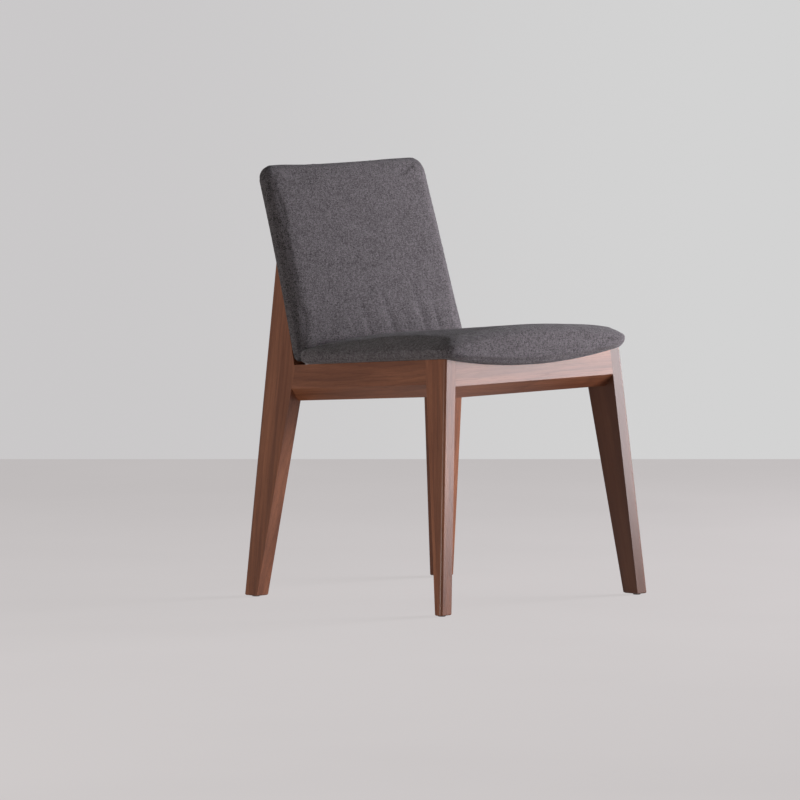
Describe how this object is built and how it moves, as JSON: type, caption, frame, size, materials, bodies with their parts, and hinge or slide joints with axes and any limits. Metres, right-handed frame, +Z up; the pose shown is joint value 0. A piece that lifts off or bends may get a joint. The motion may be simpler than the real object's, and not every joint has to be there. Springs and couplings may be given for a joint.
{
  "type": "side chair",
  "caption": "Side chair with a splayed dark wood frame, a scooped seat bed, a crowned fabric seat and a leaning fabric back held on the rear posts.",
  "frame": {"origin": "on the floor, under the middle of the chair's bounding box", "axes": "+Z up, -Y to the front of the chair, +X to the sitter's left"},
  "size_m": [0.5298, 0.5063, 0.7562],
  "materials": {
    "walnut": "satin",
    "plywood": "matte",
    "beech": "matte",
    "melange_fabric": "matte",
    "lining_fabric": "matte",
    "foam": "matte",
    "zinc_steel": "satin",
    "glide_plastic": "matte"
  },
  "bodies": {
    "root": {"back_cover": "melange_fabric", "back_foam": "foam", "back_panel": "plywood", "back_tee_nuts": "zinc_steel", "block_screws": "zinc_steel", "front_block_left": "beech", "front_block_right": "beech", "front_glide_left": "glide_plastic", "front_glide_right": "glide_plastic", "front_leg_left": "walnut", "front_leg_right": "walnut", "front_rail": "walnut", "post_bolts": "zinc_steel", "post_plugs": "walnut", "rail_dowels": "beech", "rear_block_left": "beech", "rear_block_right": "beech", "rear_glide_left": "glide_plastic", "rear_glide_right": "glide_plastic", "rear_leg_left": "walnut", "rear_leg_right": "walnut", "rear_rail": "walnut", "seat_bolts": "zinc_steel", "seat_cover": "melange_fabric", "seat_foam": "foam", "seat_lining": "lining_fabric", "seat_panel": "plywood", "seat_tee_nuts": "zinc_steel", "seat_washers": "zinc_steel", "side_rail_left": "walnut", "side_rail_right": "walnut"}
  },
  "joints": []
}
